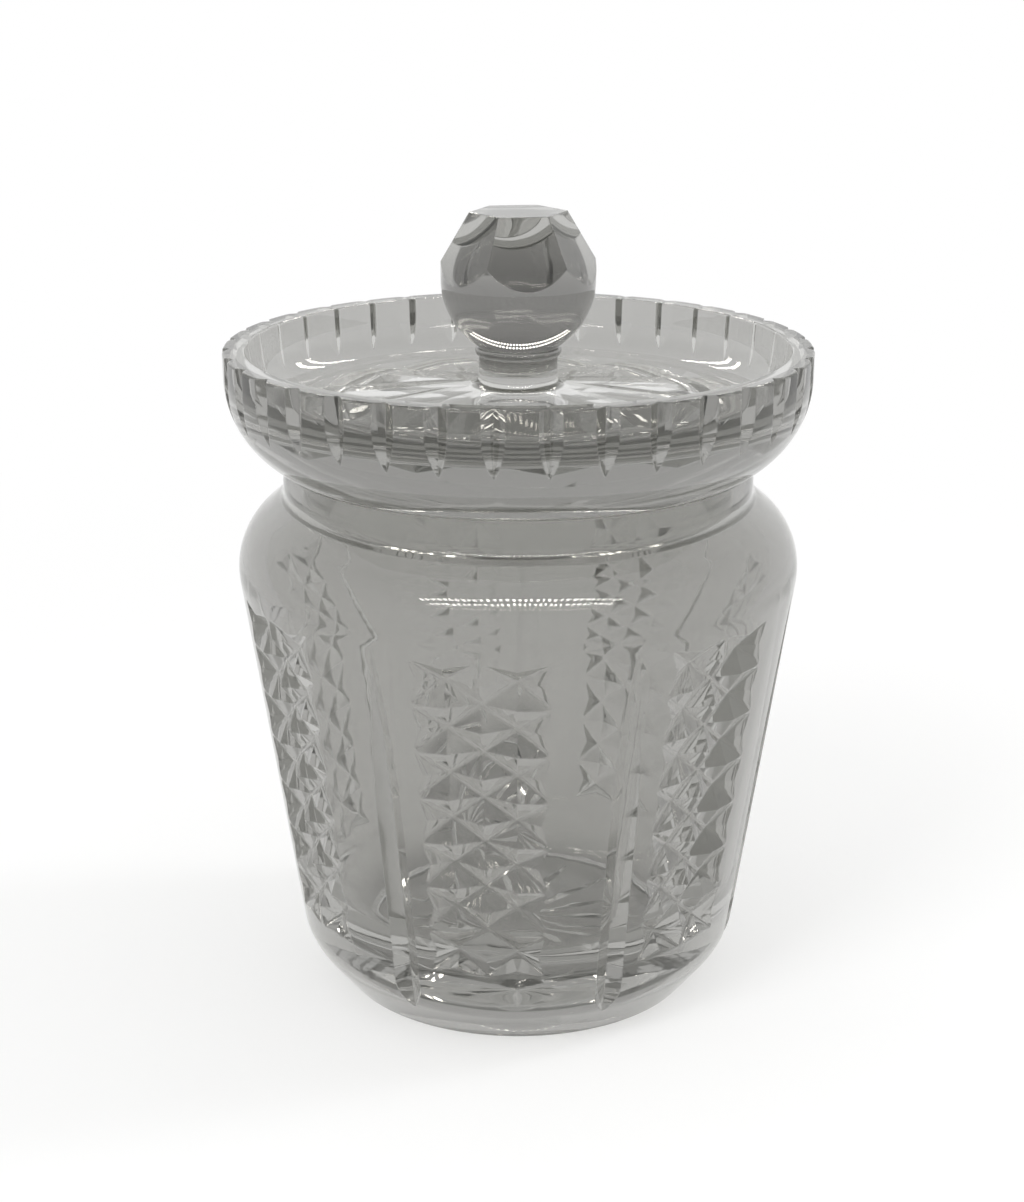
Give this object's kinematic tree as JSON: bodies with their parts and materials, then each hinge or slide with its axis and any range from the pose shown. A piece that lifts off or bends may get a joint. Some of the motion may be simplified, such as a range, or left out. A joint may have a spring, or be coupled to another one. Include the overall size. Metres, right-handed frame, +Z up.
{
  "type": "biscuit jar",
  "caption": "Round cut-glass biscuit jar with a tapered body, a short neck and a lift-off dished lid with a faceted knob.",
  "frame": {"origin": "centre of the ring that the jar stands on, in the plane of the table", "axes": "+Z up along the jar's axis; -Y is the front and +X is to the right of somebody facing the front"},
  "size_m": [0.1304, 0.1304, 0.1783],
  "materials": {
    "cut_crystal": "clear colourless crystal, polished, with polished mitre cuts"
  },
  "bodies": {
    "jar": {"jar_body": "cut_crystal"},
    "lid": {"lid": "cut_crystal", "lid_knob": "cut_crystal"}
  },
  "joints": [
    {"name": "lid_lift", "type": "slide", "parent": "jar", "child": "lid", "axis": [0, 0, 1], "range_m": [0, 0.1]}
  ]
}
